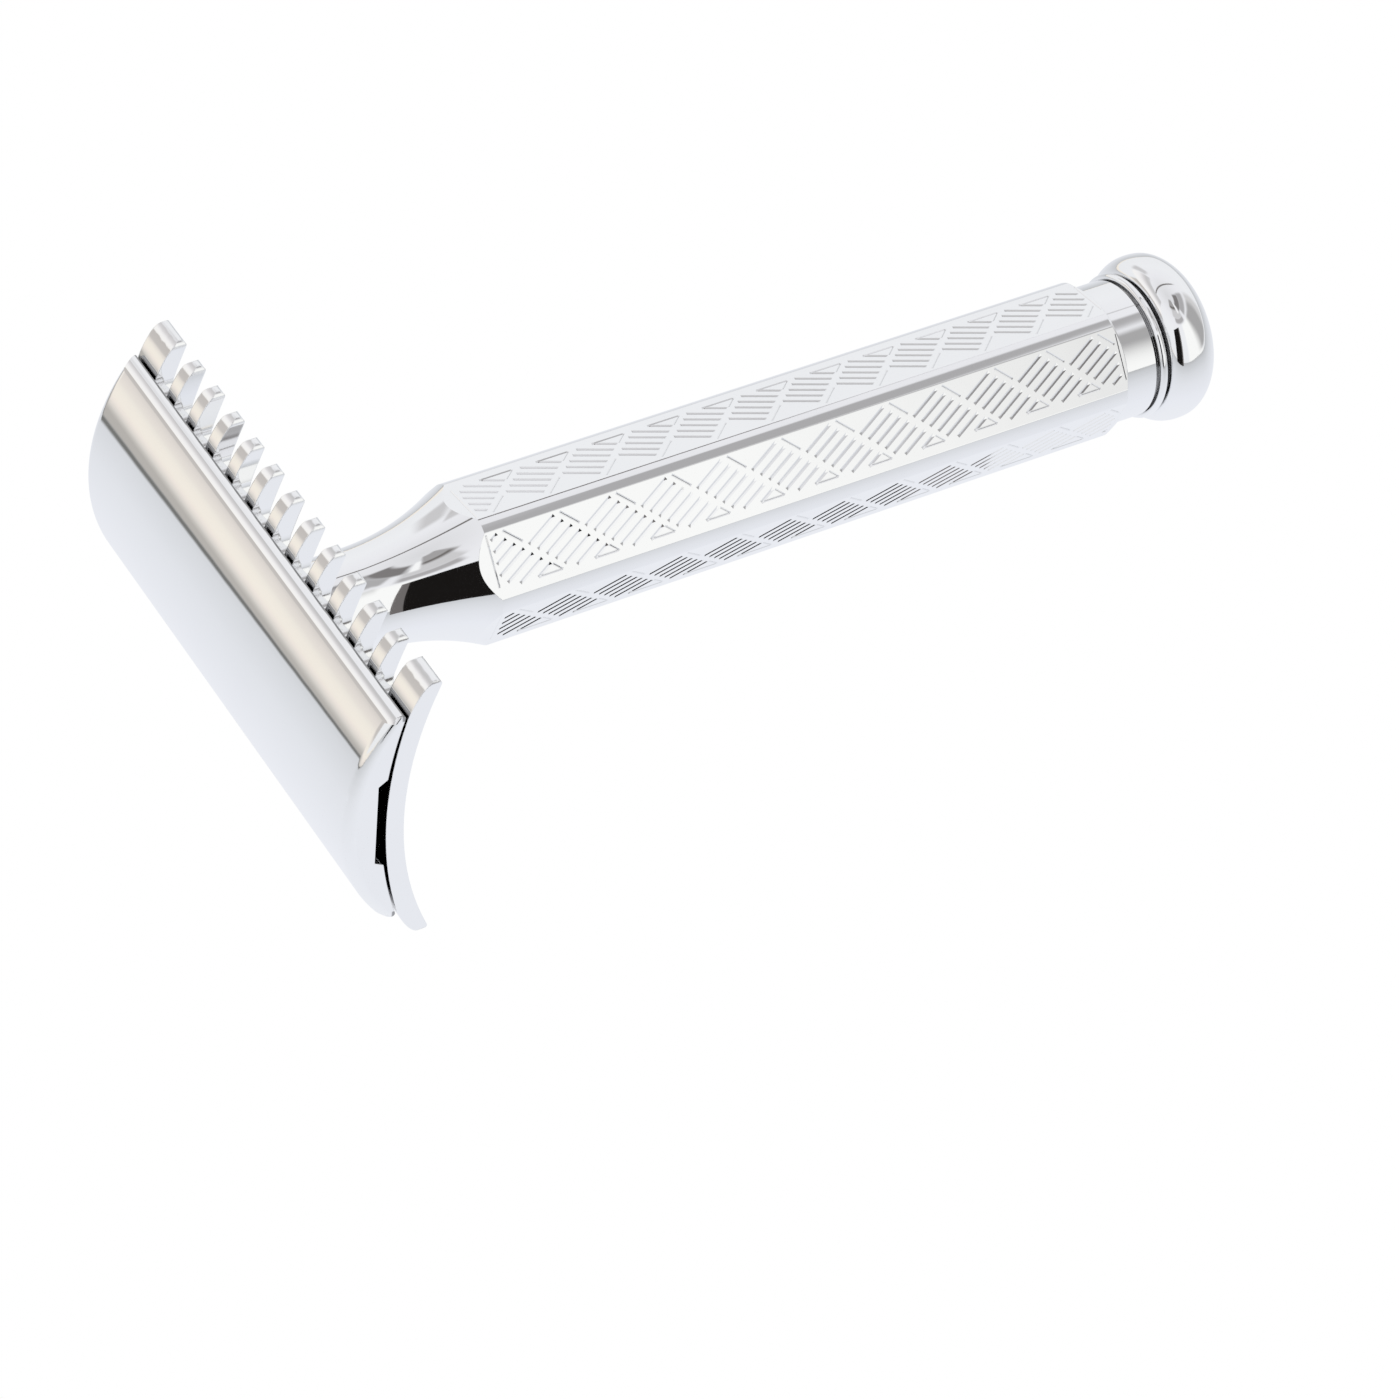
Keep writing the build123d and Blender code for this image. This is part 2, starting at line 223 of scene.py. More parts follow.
def chrome(name, tint, rough, round_mm, cap_rim=False):
    """Polished plating: faint orange peel, hairline wiping marks and softened edges."""
    material = bpy.data.materials.new(name)
    tree = Tree(material)
    bsdf = tree.nodes["Principled BSDF"]
    place = tree.new("ShaderNodeTexCoord").outputs["Object"]
    peel = tree.noise(place, scale=260.0)
    # hairlines are noise stretched along the handle
    hair = tree.noise(tree.scaled(place, (300.0, 5200.0, 5200.0)), scale=1.0, detail=3.0)
    smear = tree.noise(place, scale=90.0, detail=3.0)

    # smears and hairlines each add a little roughness
    smeared = tree.math("MULTIPLY_ADD", tree.fade(smear, 0.35, 0.75), 0.035, rough)
    roughness = tree.math("MULTIPLY_ADD", tree.fade(hair, 0.60, 0.80), 0.04, smeared)
    tree.put(bsdf.inputs["Roughness"], roughness)

    tone = tree.mix(tree.fade(smear, 0.3, 0.7), tint, tuple(c * 0.985 for c in tint))
    # painted shade: ambient occlusion darkens seams and the bottoms of narrow slits
    cavity = tree.new("ShaderNodeAmbientOcclusion", samples=6)
    cavity.inputs["Distance"].default_value = SEAM_REACH * MM
    tone = tree.mix(tree.fade(cavity.outputs["AO"], 0.74, 0.34), tone, SEAM_SHADE)
    bevel = tree.new("ShaderNodeBevel", samples=4)
    bevel.inputs["Radius"].default_value = round_mm * MM
    normal = bevel.outputs["Normal"]
    if cap_rim:
        split = tree.new("ShaderNodeSeparateXYZ")
        tree.put(split.inputs[0], place)
        x, y, z = split.outputs
        # the lip's lower edge lies in the shade of the slit
        lip = tree.times(fade_mm(tree, x, LIP_EDGE_X), fade_mm(tree, tree.size(z), LIP_EDGE_Z))
        tone = tree.mix(lip, tone, LIP_SHADE)
        normal = rim_normal(tree, x, y, z, normal)
    tree.put(bsdf.inputs["Base Color"], tone)
    bsdf.inputs["Metallic"].default_value = 1.0
    waved = tree.bump(peel, strength=0.02, distance=0.2 * MM, normal=normal)
    tree.put(bsdf.inputs["Normal"], waved)
    return material


def brass(name):
    """Machined brass: turning rings along the axis and slight tarnish."""
    material = bpy.data.materials.new(name)
    tree = Tree(material)
    bsdf = tree.nodes["Principled BSDF"]
    place = tree.new("ShaderNodeTexCoord").outputs["Object"]
    rings = tree.noise(tree.scaled(place, (7000.0, 120.0, 120.0)), scale=1.0)
    tarnish = tree.fade(tree.noise(place, scale=400.0), 0.4, 0.7)
    clean, dull = (0.80, 0.58, 0.26), (0.66, 0.45, 0.19)
    tree.put(bsdf.inputs["Base Color"], tree.mix(tarnish, clean, dull))
    bsdf.inputs["Metallic"].default_value = 1.0
    # roughness 0.14 to 0.30 across the rings
    tree.put(bsdf.inputs["Roughness"], tree.math("MULTIPLY_ADD", rings, 0.16, 0.14))
    tree.put(bsdf.inputs["Normal"], tree.bump(rings, strength=0.15, distance=0.05 * MM))
    return material


HANDLE_TINT = (0.94, 0.945, 0.955)
HEAD_TINT = (0.94, 0.945, 0.95)
GRIP_CHROME = chrome("chrome_grip", HANDLE_TINT, rough=0.035, round_mm=0.03)
HEAD_CHROME = chrome("chrome_head", HEAD_TINT, rough=0.03, round_mm=0.12)
CAP_CHROME = chrome("chrome_cap", HEAD_TINT, rough=0.03, round_mm=0.12, cap_rim=True)
STUD_CHROME = chrome("chrome_stud", HANDLE_TINT, rough=0.08, round_mm=0.05)
BUSH_BRASS = brass("bush_brass")

CAD_METALS = {
    "comb_plate": HEAD_CHROME,
    "top_cap": CAP_CHROME,
    "cap_stud": STUD_CHROME,
    "pin_left": STUD_CHROME,
    "pin_right": STUD_CHROME,
    "thread_bush": BUSH_BRASS,
    "hex_grip": GRIP_CHROME,
    "knob_ring": GRIP_CHROME,
    "end_knob": GRIP_CHROME,
}


def dress_cad_pieces():
    for name, metal in CAD_METALS.items():
        piece = nodes_by_name[name]
        if piece.material_slots:
            for slot in piece.material_slots:
                slot.material = metal
        else:
            piece.data.materials.append(metal)


# ------------------------------------------------------------------ mesh helpers
def link_mesh(name, bm):
    mesh = bpy.data.meshes.new(name)
    bm.to_mesh(mesh)
    bm.free()
    piece = bpy.data.objects.new(name, mesh)
    scene.collection.objects.link(piece)
    return piece


def new_piece(name, bm, metal, sharp_degrees=18.0):
    """Object with smooth faces, sharp where they meet at more than the angle."""
    bmesh.ops.recalc_face_normals(bm, faces=bm.faces)
    piece = link_mesh(name, bm)
    piece.data.materials.append(metal)
    bm = bmesh.new()
    bm.from_mesh(piece.data)
    for face in bm.faces:
        face.smooth = True
    mark_sharp_edges(bm, sharp_degrees)
    bm.to_mesh(piece.data)
    bm.free()
    return piece


def mark_sharp_edges(bm, sharp_degrees):
    """Edges are smooth between two smooth faces that meet at less than the angle."""
    limit = math.radians(sharp_degrees)
    for edge in bm.edges:
        faces = edge.link_faces
        edge.smooth = (len(faces) == 2 and all(face.smooth for face in faces)
                       and edge.calc_face_angle(0.0) < limit)


def hand_over(piece, rider, replaced):
    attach(piece, rider)
    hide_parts(replaced)


def add_ring(bm, x, radii):
    """Vertices round X, one for each radius."""
    count = len(radii)
    return [
        bm.verts.new((x * MM, r * MM * math.cos(2 * math.pi * i / count),
                      r * MM * math.sin(2 * math.pi * i / count)))
        for i, r in enumerate(radii)
    ]


def bridge(bm, a, b):
    """Faces between two rings, either of which may be a single vertex on the axis."""
    count = max(len(a), len(b))
    for i in range(count):
        j = (i + 1) % count
        if len(a) == 1:
            bm.faces.new((a[0], b[i], b[j]))
        elif len(b) == 1:
            bm.faces.new((a[i], b[0], a[j]))
        else:
            bm.faces.new((a[i], b[i], b[j], a[j]))


def revolve(profile, segments, closed=False):
    """Surface of revolution from (x, radius) points; a closed profile makes a hollow ring."""
    bm = bmesh.new()
    rings = [
        add_ring(bm, x, [r] * segments) if r else [bm.verts.new((x * MM, 0, 0))]
        for x, r in profile
    ]
    following = rings[1:] + rings[:1] if closed else rings[1:]
    for a, b in zip(rings, following):
        bridge(bm, a, b)
    return bm


# ------------------------------------------------------------------ grip body
X_TAIL, X_SEAT = x_span("hex_grip")
X_HEX_TAIL = X_TAIL + 2.75          # the hexagon's two ends
X_HEX_HEAD = X_SEAT - 15.92
X_NECK = X_HEX_HEAD + 9.0           # where the flare meets the neck
X_FLARE = X_HEX_HEAD - 0.4
COLLAR_R, NECK_R, FLARE_R = 5.45, 3.90, 18.5
BLANK_R = 7.2                       # clears the hexagon's corners
BORE_R, PILOT_R = 3.0, 2.7
TAIL_BORE, HEAD_BORE, PILOT_BORE = 10.5, 11.0, 14.0     # depths
TAIL_EDGE, SEAT_EDGE = 0.12, 0.15   # chamfers
FLARE_STEPS = 60

APOTHEM = 5.575
FACE_ANGLES = [math.radians(38.5) + k * math.pi / 3 for k in range(6)]    # from +Y to +Z
# each long edge is a faintly convex chamfer with a small round on either side
ROUND_R, CHAMFER_R = 0.30, 4.05
ROUND_DEGREES = 22                  # where the round gives way to the chamfer
EDGE_DEGREES = [0, 4, 8, 12, 17, 22, 24, 26, 28, 30]


def grip_blank():
    flare = []
    for i in range(FLARE_STEPS + 1):
        x = X_FLARE + (X_NECK - X_FLARE) * i / FLARE_STEPS
        flare.append((x, NECK_R + FLARE_R - math.sqrt(FLARE_R ** 2 - (X_NECK - x) ** 2)))
    return (
        [(X_TAIL + TAIL_BORE, 0), (X_TAIL + TAIL_BORE, BORE_R), (X_TAIL, BORE_R)]
        + [(X_TAIL, COLLAR_R - TAIL_EDGE), (X_TAIL + TAIL_EDGE, COLLAR_R)]
        + [(X_HEX_TAIL - 0.01, COLLAR_R), (X_HEX_TAIL + 0.62, 6.24)]
        + [(X_HEX_TAIL + 0.9, BLANK_R), (X_FLARE, BLANK_R)]
        + flare
        + [(X_SEAT - SEAT_EDGE, NECK_R), (X_SEAT, NECK_R - SEAT_EDGE)]
        + [(X_SEAT, BORE_R), (X_SEAT - HEAD_BORE, BORE_R), (X_SEAT - HEAD_BORE, PILOT_R)]
        + [(X_SEAT - PILOT_BORE, PILOT_R), (X_SEAT - PILOT_BORE, 0)]
    )


def hexagon_outline():
    """The prism's section, as (y, z) points."""
    along, inward = [0.0], [0.0]    # from the end of a flat
    for degree in range(30):
        start, end = math.radians(degree), math.radians(degree + 1)
        radius = ROUND_R if degree < ROUND_DEGREES else CHAMFER_R
        along.append(along[-1] + radius * (math.sin(end) - math.sin(start)))
        inward.append(inward[-1] + radius * (math.cos(start) - math.cos(end)))
    flat_end = (APOTHEM - inward[-1]) * math.tan(math.radians(30)) - along[-1]
    half = [(flat_end + along[i], APOTHEM - inward[i]) for i in EDGE_DEGREES]
    side = [(-w, h) for w, h in half[-2::-1]] + half
    outline = []
    for angle in FACE_ANGLES:
        cos, sin = math.cos(angle), math.sin(angle)
        outline += [Vector((h * cos - w * sin, h * sin + w * cos)) for w, h in side]
    return outline


def hexagon_prism():
    outline = hexagon_outline()
    bm = bmesh.new()
    tail, head = [
        [bm.verts.new((x * MM, p.x * MM, p.y * MM)) for p in outline]
        for x in (X_TAIL - 1, X_SEAT + 1)
    ]
    bm.faces.new(tail[::-1])
    bm.faces.new(head)
    for i in range(len(outline)):
        j = (i + 1) % len(outline)
        bm.faces.new((tail[i], tail[j], head[j], head[i]))
    return new_piece("tool_prism", bm, GRIP_CHROME)


def keep_common(piece, tool):
    """Cuts the piece to what it shares with the tool, and removes the tool."""
    cut = piece.modifiers.new("common", "BOOLEAN")
    cut.operation = "INTERSECT"
    cut.object = tool
    cut.solver = "MANIFOLD"
    bpy.context.view_layer.update()
    depsgraph = bpy.context.evaluated_depsgraph_get()
    mesh = bpy.data.meshes.new_from_object(piece.evaluated_get(depsgraph))
    piece.modifiers.clear()
    old_mesh = piece.data
    piece.data = mesh
    bpy.data.meshes.remove(old_mesh)
    bpy.data.objects.remove(tool)


# ------------------------------------------------------------------ engraved panels
# Slanting plain strips, and between them cells of parallel V grooves.
# On a flat, x runs along the handle and w across it.
PANEL_X0, PANEL_X1 = X_HEX_TAIL + 0.58, X_HEX_HEAD
PANEL_W0, PANEL_W1 = -1.75, 2.30    # the margin on one side is wider
GROOVE_FIELD = ((PANEL_X0 + 0.12, PANEL_X1 - 0.10), (PANEL_W0, PANEL_W1))
PITCH = 4.70                        # strip to strip, along x
STRIP = 0.60                        # plain strip's width, along x
SLANT = 1.09                        # strip's run along x per unit of w
CORNER_X, CORNER_W = 59.05, -1.70   # a point on strip 0's head-side line
GROOVE_STEP = 0.5375                # groove to groove, in w
LOWEST_GROOVE = -2.6
COS30, SIN30 = math.cos(math.radians(30)), 0.5
CELL_RUN = (PITCH - STRIP) / (COS30 + SIN30 * SLANT)      # groove length from strip to strip
OVERLAP = 0.02
SHORTEST = 0.25

# half width, depth and the end slope's run
GROOVE_HALF, GROOVE_SLOPE = 0.135, 0.26
HEAD_LINE_CUT = (0.07, 0.05, 0.1)
TAIL_LINE_CUT = (0.06, 0.04, 0.1)
UPPER_CORNER_CUT = (0.095, 0.08, 0.12)
LOWER_CORNER_CUT = (0.075, 0.07, 0.1)
LOWER_EDGE_CUT = (0.085, 0.075, 0.1)

# one row for each flat: mirrored in w, first groove's offset in w, groove depth
FLATS = [
    (False, 0.20, 0.066),           # cut fainter than the others
    (True, -0.08, 0.155),
    (True, 0.1, 0.155),
    (True, 0.1, 0.155),
    (False, 0.1, 0.155),
    (False, 0.02, 0.155),
]

Groove = namedtuple("Groove", "start end half_width depth slope")
# a groove's mesh: corners 0-3 round its mouth, 4 and 5 at the ends of its bottom line
GROOVE_EDGES = [(0, 1), (1, 2), (2, 3), (3, 0), (4, 5), (0, 4), (1, 4), (2, 5), (3, 5)]


def clip(start, end):
    """Part of the segment inside the groove field, or None."""
    t0, t1 = 0.0, 1.0
    dx, dw = end[0] - start[0], end[1] - start[1]
    for delta, (low, high), origin in zip((dx, dw), GROOVE_FIELD, start):
        if abs(delta) < 1e-9:
            if origin < low or origin > high:
                return None
            continue
        enter, leave = sorted(((low - origin) / delta, (high - origin) / delta))
        t0, t1 = max(t0, enter), min(t1, leave)
    if t1 - t0 < 1e-4:
        return None
    a, b = [(start[0] + dx * t, start[1] + dw * t) for t in (t0, t1)]
    return (a, b) if math.hypot(b[0] - a[0], b[1] - a[1]) > SHORTEST else None


def strip_head(corner, w):
    return corner + (w - CORNER_W) * SLANT


def strip_tail(corner, w):
    return strip_head(corner, w) - STRIP


def panel_grooves(offset, depth):
    """All grooves of one flat's panel, starting with the lines at its two ends."""
    x_head, x_tail = PANEL_X1 + 0.19, PANEL_X0 - 0.14
    grooves = [
        Groove((x_head, PANEL_W0 + 0.15), (x_head, PANEL_W1 + 0.05), *HEAD_LINE_CUT),
        Groove((x_tail, PANEL_W0), (x_tail, 1.95), *TAIL_LINE_CUT),
    ]

    def add(start, end, cut):
        segment = clip(start, end)
        if segment:
            grooves.append(Groove(*segment, *cut))

    for n in range(-1, 12):
        corner = CORNER_X - PITCH * n
        next_corner = corner - PITCH
        w = offset + GROOVE_STEP
        while w > LOWEST_GROOVE:
            x = strip_tail(corner, w)
            end = (x - COS30 * CELL_RUN + OVERLAP, w + SIN30 * CELL_RUN)
            add((x - OVERLAP, w), end, (GROOVE_HALF, depth, GROOVE_SLOPE))
            w -= GROOVE_STEP
        # outlines of the cell's two plain corners
        upper_w = offset + GROOVE_STEP + 0.36
        add((strip_tail(corner, PANEL_W1), PANEL_W1), (strip_tail(corner, upper_w), upper_w),
            UPPER_CORNER_CUT)
        last_w = w + GROOVE_STEP
        lower_w = last_w + SIN30 * CELL_RUN - 0.10
        add((strip_head(next_corner, lower_w), lower_w),
            (strip_head(next_corner, PANEL_W0), PANEL_W0), LOWER_CORNER_CUT)
        to_margin = (PANEL_W0 - last_w) / SIN30
        edge_w = PANEL_W0 + OVERLAP
        add((strip_tail(corner, last_w) - COS30 * to_margin, edge_w),
            (next_corner + OVERLAP, edge_w), LOWER_EDGE_CUT)
    return grooves


def depth_at(x, w, grooves):
    deepest = 0.0
    for (x0, w0), (x1, w1), half_width, depth, slope in grooves:
        ux, uw = x1 - x0, w1 - w0
        length = math.hypot(ux, uw)
        ux, uw = ux / length, uw / length
        along = (x - x0) * ux + (w - w0) * uw
        aside = abs(-(x - x0) * uw + (w - w0) * ux)
        if aside < half_width and 0 < along < length:
            share = min(1 - aside / half_width, along / slope, (length - along) / slope)
            deepest = max(deepest, depth * share)
    return deepest


def engrave(piece, angle, grooves):
    """Replaces one flat's face by a triangulated sheet with the grooves pressed into it."""
    cos, sin = math.cos(angle), math.sin(angle)
    bm = bmesh.new()
    bm.from_mesh(piece.data)
    [flat] = [
        f for f in bm.faces
        if f.normal.y * cos + f.normal.z * sin > 0.99999 and f.calc_area() > 5e-5
    ]
    rim = list(flat.verts)
    count = len(rim)
    points = [Vector((v.co.x / MM, (-v.co.y * sin + v.co.z * cos) / MM)) for v in rim]
    edges = [(i, (i + 1) % count) for i in range(count)]
    for groove in grooves:
        a, b = Vector(groove.start), Vector(groove.end)
        (x0, w0), (x1, w1) = groove.start, groove.end
        unit = Vector((x1 - x0, w1 - w0)).normalized()
        aside = Vector((-unit.y, unit.x)) * groove.half_width
        slope = unit * groove.slope
        first = len(points)
        points += [a + aside, a - aside, b - aside, b + aside, a + slope, b - slope]
        edges += [(first + i, first + j) for i, j in GROOVE_EDGES]
    outline = list(range(count))[::-1]
    places, _, triangles, sources, _, insides = delaunay_2d_cdt(
        points, edges, [outline], 1, 1e-5, True)
    bm.faces.remove(flat)
    verts = []
    for place, source in zip(places, sources):
        on_rim = [i for i in source if i < count]
        if on_rim:
            verts.append(rim[on_rim[0]])
            continue
        x, w = place
        h = APOTHEM - depth_at(x, w, grooves)
        verts.append(bm.verts.new((x * MM, (h * cos - w * sin) * MM, (h * sin + w * cos) * MM)))
    for triangle, inside in zip(triangles, insides):
        if not inside:              # a sliver outside the flat's outline
            continue
        try:
            face = bm.faces.new([verts[i] for i in triangle])
        except ValueError:          # corners merged into one rim vertex, or a repeated face
            continue
        face.normal_update()
        if face.normal.y * cos + face.normal.z * sin < 0:
            face.normal_flip()
    bm.to_mesh(piece.data)
    bm.free()


def shade_grip(piece):
    """Flat shading on planes and grooves, smooth on turned ends and the long edges' rounds."""
    directions = [(math.cos(angle), math.sin(angle)) for angle in FACE_ANGLES]
    bm = bmesh.new()
    bm.from_mesh(piece.data)
    for face in bm.faces:
        centre = face.calc_center_median() / MM
        normal = face.normal
        plane = any(normal.y * cos + normal.z * sin > 0.99999 for cos, sin in directions)
        height = max(centre.y * cos + centre.z * sin for cos, sin in directions)
        groove = (
            X_HEX_TAIL + 0.2 < centre.x < X_HEX_HEAD + 0.4
            and height < APOTHEM - 0.002
            and face.calc_area() < 2e-6
            and abs(normal.x) < 0.75
            and len(face.verts) == 3
        )
        face.smooth = not (plane or groove)
    mark_sharp_edges(bm, 20)
    bm.to_mesh(piece.data)
    bm.free()


def build_grip():
    grip = new_piece("hex_grip_engraved", revolve(grip_blank(), 288), GRIP_CHROME)
    keep_common(grip, hexagon_prism())
    for angle, (mirrored, offset, depth) in zip(FACE_ANGLES, FLATS):
        grooves = panel_grooves(offset, depth)
        if mirrored:
            grooves = [
                g._replace(start=(g.start[0], -g.start[1]), end=(g.end[0], -g.end[1]))
                for g in grooves
            ]
        engrave(grip, angle, grooves)
    shade_grip(grip)
    if not grip.data.materials:     # in case the boolean's mesh came without one
        grip.data.materials.append(GRIP_CHROME)
    hand_over(grip, "handle", "hex_grip")


# ------------------------------------------------------------------ knob and ring
TURNED_SEGMENTS = 320
X_RING = 5.57                       # where the knob ends and the ring begins
X_RING_END = 6.42
KNOB_WIDEST = (3.20, 6.64)
# the knob's rounded side, as (x, radius) from its end towards the ring
KNOB_STATIONS = [
    (0, 2.60), (0.64, 4.40), (1.12, 5.38), (1.60, 5.97), (2.57, 6.56), KNOB_WIDEST,
    (4.00, 6.58), (4.60, 6.36), (5.00, 6.06), (5.28, 5.62),
]
KNOB_START_DIRECTION, KNOB_END_DIRECTION = (0.12, 1.0), (0.30, -1.0)
STEPS_PER_SPAN = 8
# the step beside the ring, then the spigot that runs into the grip
KNOB_SPIGOT = [
    (5.32, 5.26), (5.34, 5.21), (5.37, 5.20), (X_RING, 5.20), (X_RING, 2.99),
    (14.32, 2.99), (14.57, 2.74), (14.57, 0),
]
BEAD_HALF, BEAD_HEIGHT, BEAD_BASE_R = 0.31, 0.40, 5.40
BEAD_STEPS = 14
# the ring's land beside the bead, then its bore
RING_LAND = [
    (6.19, 5.17), (6.21, 5.15), (X_RING_END, 5.15), (X_RING_END, 3.02), (X_RING, 3.02),
]


def spline_slopes(values, spans, first, last):
    """Slopes at a clamped cubic spline's points, by elimination of the tridiagonal system."""
    n = len(values)
    below, diagonal, above, right = [0.0] * n, [1.0] * n, [0.0] * n, [0.0] * n
    right[0], right[-1] = first, last
    for i in range(1, n - 1):
        before, after = spans[i - 1], spans[i]
        below[i], diagonal[i], above[i] = after, 2 * (before + after), before
        right[i] = 3 * (after * (values[i] - values[i - 1]) / before
                        + before * (values[i + 1] - values[i]) / after)
    for i in range(1, n):
        share = below[i] / diagonal[i - 1]
        diagonal[i] -= share * above[i - 1]
        right[i] -= share * right[i - 1]
    slopes = [0.0] * n
    slopes[-1] = right[-1] / diagonal[-1]
    for i in range(n - 2, -1, -1):
        slopes[i] = (right[i] - above[i] * slopes[i + 1]) / diagonal[i]
    return slopes


def smooth_curve(points, start, end):
    """Clamped cubic spline through (x, radius) points, spaced by chord length."""
    spans = [math.dist(a, b) for a, b in zip(points, points[1:])]
    slopes = [
        spline_slopes([p[c] for p in points], spans,
                      start[c] / math.hypot(*start), end[c] / math.hypot(*end))
        for c in (0, 1)
    ]
    curve = []
    for i, span in enumerate(spans):
        for j in range(STEPS_PER_SPAN):
            t = j / STEPS_PER_SPAN
            from_point, from_slope = 2 * t ** 3 - 3 * t ** 2 + 1, t ** 3 - 2 * t ** 2 + t
            to_point, to_slope = -2 * t ** 3 + 3 * t ** 2, t ** 3 - t ** 2
            curve.append(tuple(
                from_point * points[i][c] + from_slope * span * slopes[c][i]
                + to_point * points[i + 1][c] + to_slope * span * slopes[c][i + 1]
                for c in (0, 1)))
    curve.append(points[-1])
    return curve


def build_knob():
    side = smooth_curve(KNOB_STATIONS, KNOB_START_DIRECTION, KNOB_END_DIRECTION)
    bm = revolve([(0, 0)] + side + KNOB_SPIGOT, TURNED_SEGMENTS)
    knob = new_piece("end_knob_turned", bm, GRIP_CHROME, 24)
    hand_over(knob, "handle", "end_knob")


def bead_arc():
    """The bead's section, more than a half circle, from the knob's side to the land."""
    radius = (BEAD_HALF ** 2 + BEAD_HEIGHT ** 2) / (2 * BEAD_HEIGHT)
    centre_x = X_RING + BEAD_HALF
    centre_r = BEAD_BASE_R + BEAD_HEIGHT - radius
    beyond = math.atan2(BEAD_HEIGHT - radius, BEAD_HALF)
    turns = [
        math.pi + beyond - (math.pi + 2 * beyond) * i / BEAD_STEPS
        for i in range(BEAD_STEPS + 1)
    ]
    return [(centre_x + radius * math.cos(a), centre_r + radius * math.sin(a)) for a in turns]


def build_ring():
    bm = revolve(bead_arc() + RING_LAND, TURNED_SEGMENTS, closed=True)
    ring = new_piece("knob_ring_turned", bm, GRIP_CHROME, 24)
    hand_over(ring, "handle", "knob_ring")


# ------------------------------------------------------------------ threaded stud under the cap
X_TIP, X_STUD_END = x_span("cap_stud")
X_FLANGE, X_FLANGE_END = X_STUD_END - 1.87, X_STUD_END - 1.45
THREAD_PITCH, MAJOR_R, MINOR_R = 0.80, 2.395, 1.93
FLANGE_R, FLANGE_EDGE, TOP_R = 2.85, 0.10, 1.99
TIP_CHAMFER, SHANK = 0.6, 1.2
STEPS_PER_TURN, STUD_SEGMENTS = 16, 72


def thread_radius(x, turn):
    """Radius of the right-hand 60 degree thread, running out at both ends."""
    phase = ((x - X_TIP) / THREAD_PITCH - turn) % 1.0
    flank = abs(phase - 0.5) * 2
    rise = min(1.0, max(0.0, (flank - 0.12) / 0.74))       # 0 on the root, 1 on the crest
    thread = MINOR_R + (MAJOR_R - MINOR_R) * rise
    nose = MAJOR_R - TIP_CHAMFER + (x - X_TIP)
    shank = MAJOR_R if x > X_FLANGE - SHANK else 0.0
    return max(min(thread, nose), shank)


def build_stud():
    bm = bmesh.new()
    rings = []
    steps = int((X_FLANGE - X_TIP) / THREAD_PITCH * STEPS_PER_TURN)
    for i in range(steps + 1):
        x = X_TIP + (X_FLANGE - X_TIP) * i / steps
        radii = [thread_radius(x, j / STUD_SEGMENTS) for j in range(STUD_SEGMENTS)]
        rings.append(add_ring(bm, x, radii))
    for x, r in (
        (X_FLANGE, FLANGE_R - FLANGE_EDGE), (X_FLANGE + FLANGE_EDGE, FLANGE_R),
        (X_FLANGE_END, FLANGE_R), (X_FLANGE_END, TOP_R), (X_STUD_END, TOP_R),
    ):
        rings.append(add_ring(bm, x, [r] * STUD_SEGMENTS))
    for a, b in zip(rings, rings[1:]):
        bridge(bm, a, b)
    bm.faces.new(rings[0][::-1])
    bm.faces.new(rings[-1])
    stud = new_piece("cap_stud_threaded", bm, STUD_CHROME, 32)
    hand_over(stud, "cap", "cap_stud")


# ------------------------------------------------------------------ floor and flags
TILT = math.radians(4.28)
FLOOR_UP = Vector((math.sin(TILT), 0, math.cos(TILT)))
FLOOR_ALONG = Vector((math.cos(TILT), 0, -math.sin(TILT)))
ACROSS = Vector((0, 1, 0))
FLOOR_GAP = 0.00003
FLOOR_RADIUS = 6.0
FLOOR_SEGMENTS = 96
TOUCH = Vector((KNOB_WIDEST[0] * MM, 0, -KNOB_WIDEST[1] * MM)) - FLOOR_UP * FLOOR_GAP

# position is the cosine between view and floor normal; then display red, green, blue
SHEET_TONES = [
    (0.00, 188, 189, 190), (0.08, 204, 206, 209), (0.28, 221, 223, 227),
    (0.50, 231, 233, 238), (0.80, 238, 240, 246), (1.0, 240, 242, 247),
]
ROOM_TONES = [
    (0.0, 247, 240, 229), (0.036, 248, 241, 230), (0.060, 247, 239, 228),
    (0.080, 243, 234, 226), (0.100, 233, 226, 218), (0.120, 220, 215, 209),
    (0.136, 204, 200, 194), (0.160, 186, 182, 177),
]
SHEET_EDGE_ANGLE = math.radians(-42)    # direction from the origin to the sheet's edge

# upright flags on the +Y side, in mm: name, first and last place along the floor, display colour
FLAGS = [
    ("flag_black", 52, 128, (24, 22, 21)),
    ("flag_grey", 43, 52, (112, 108, 107)),
]
FLAG_Y, FLAG_LOW, FLAG_HIGH = 100, 0.6, 118


def flat_sheet(name, points):
    bm = bmesh.new()
    bm.faces.new([bm.verts.new(point) for point in points])
    return link_mesh(name, bm)


def bare_material(name):
    """A material and its tree, with nothing but the output node."""
    material = bpy.data.materials.new(name)
    tree = Tree(material)
    tree.nodes.remove(tree.nodes["Principled BSDF"])
    return material, tree


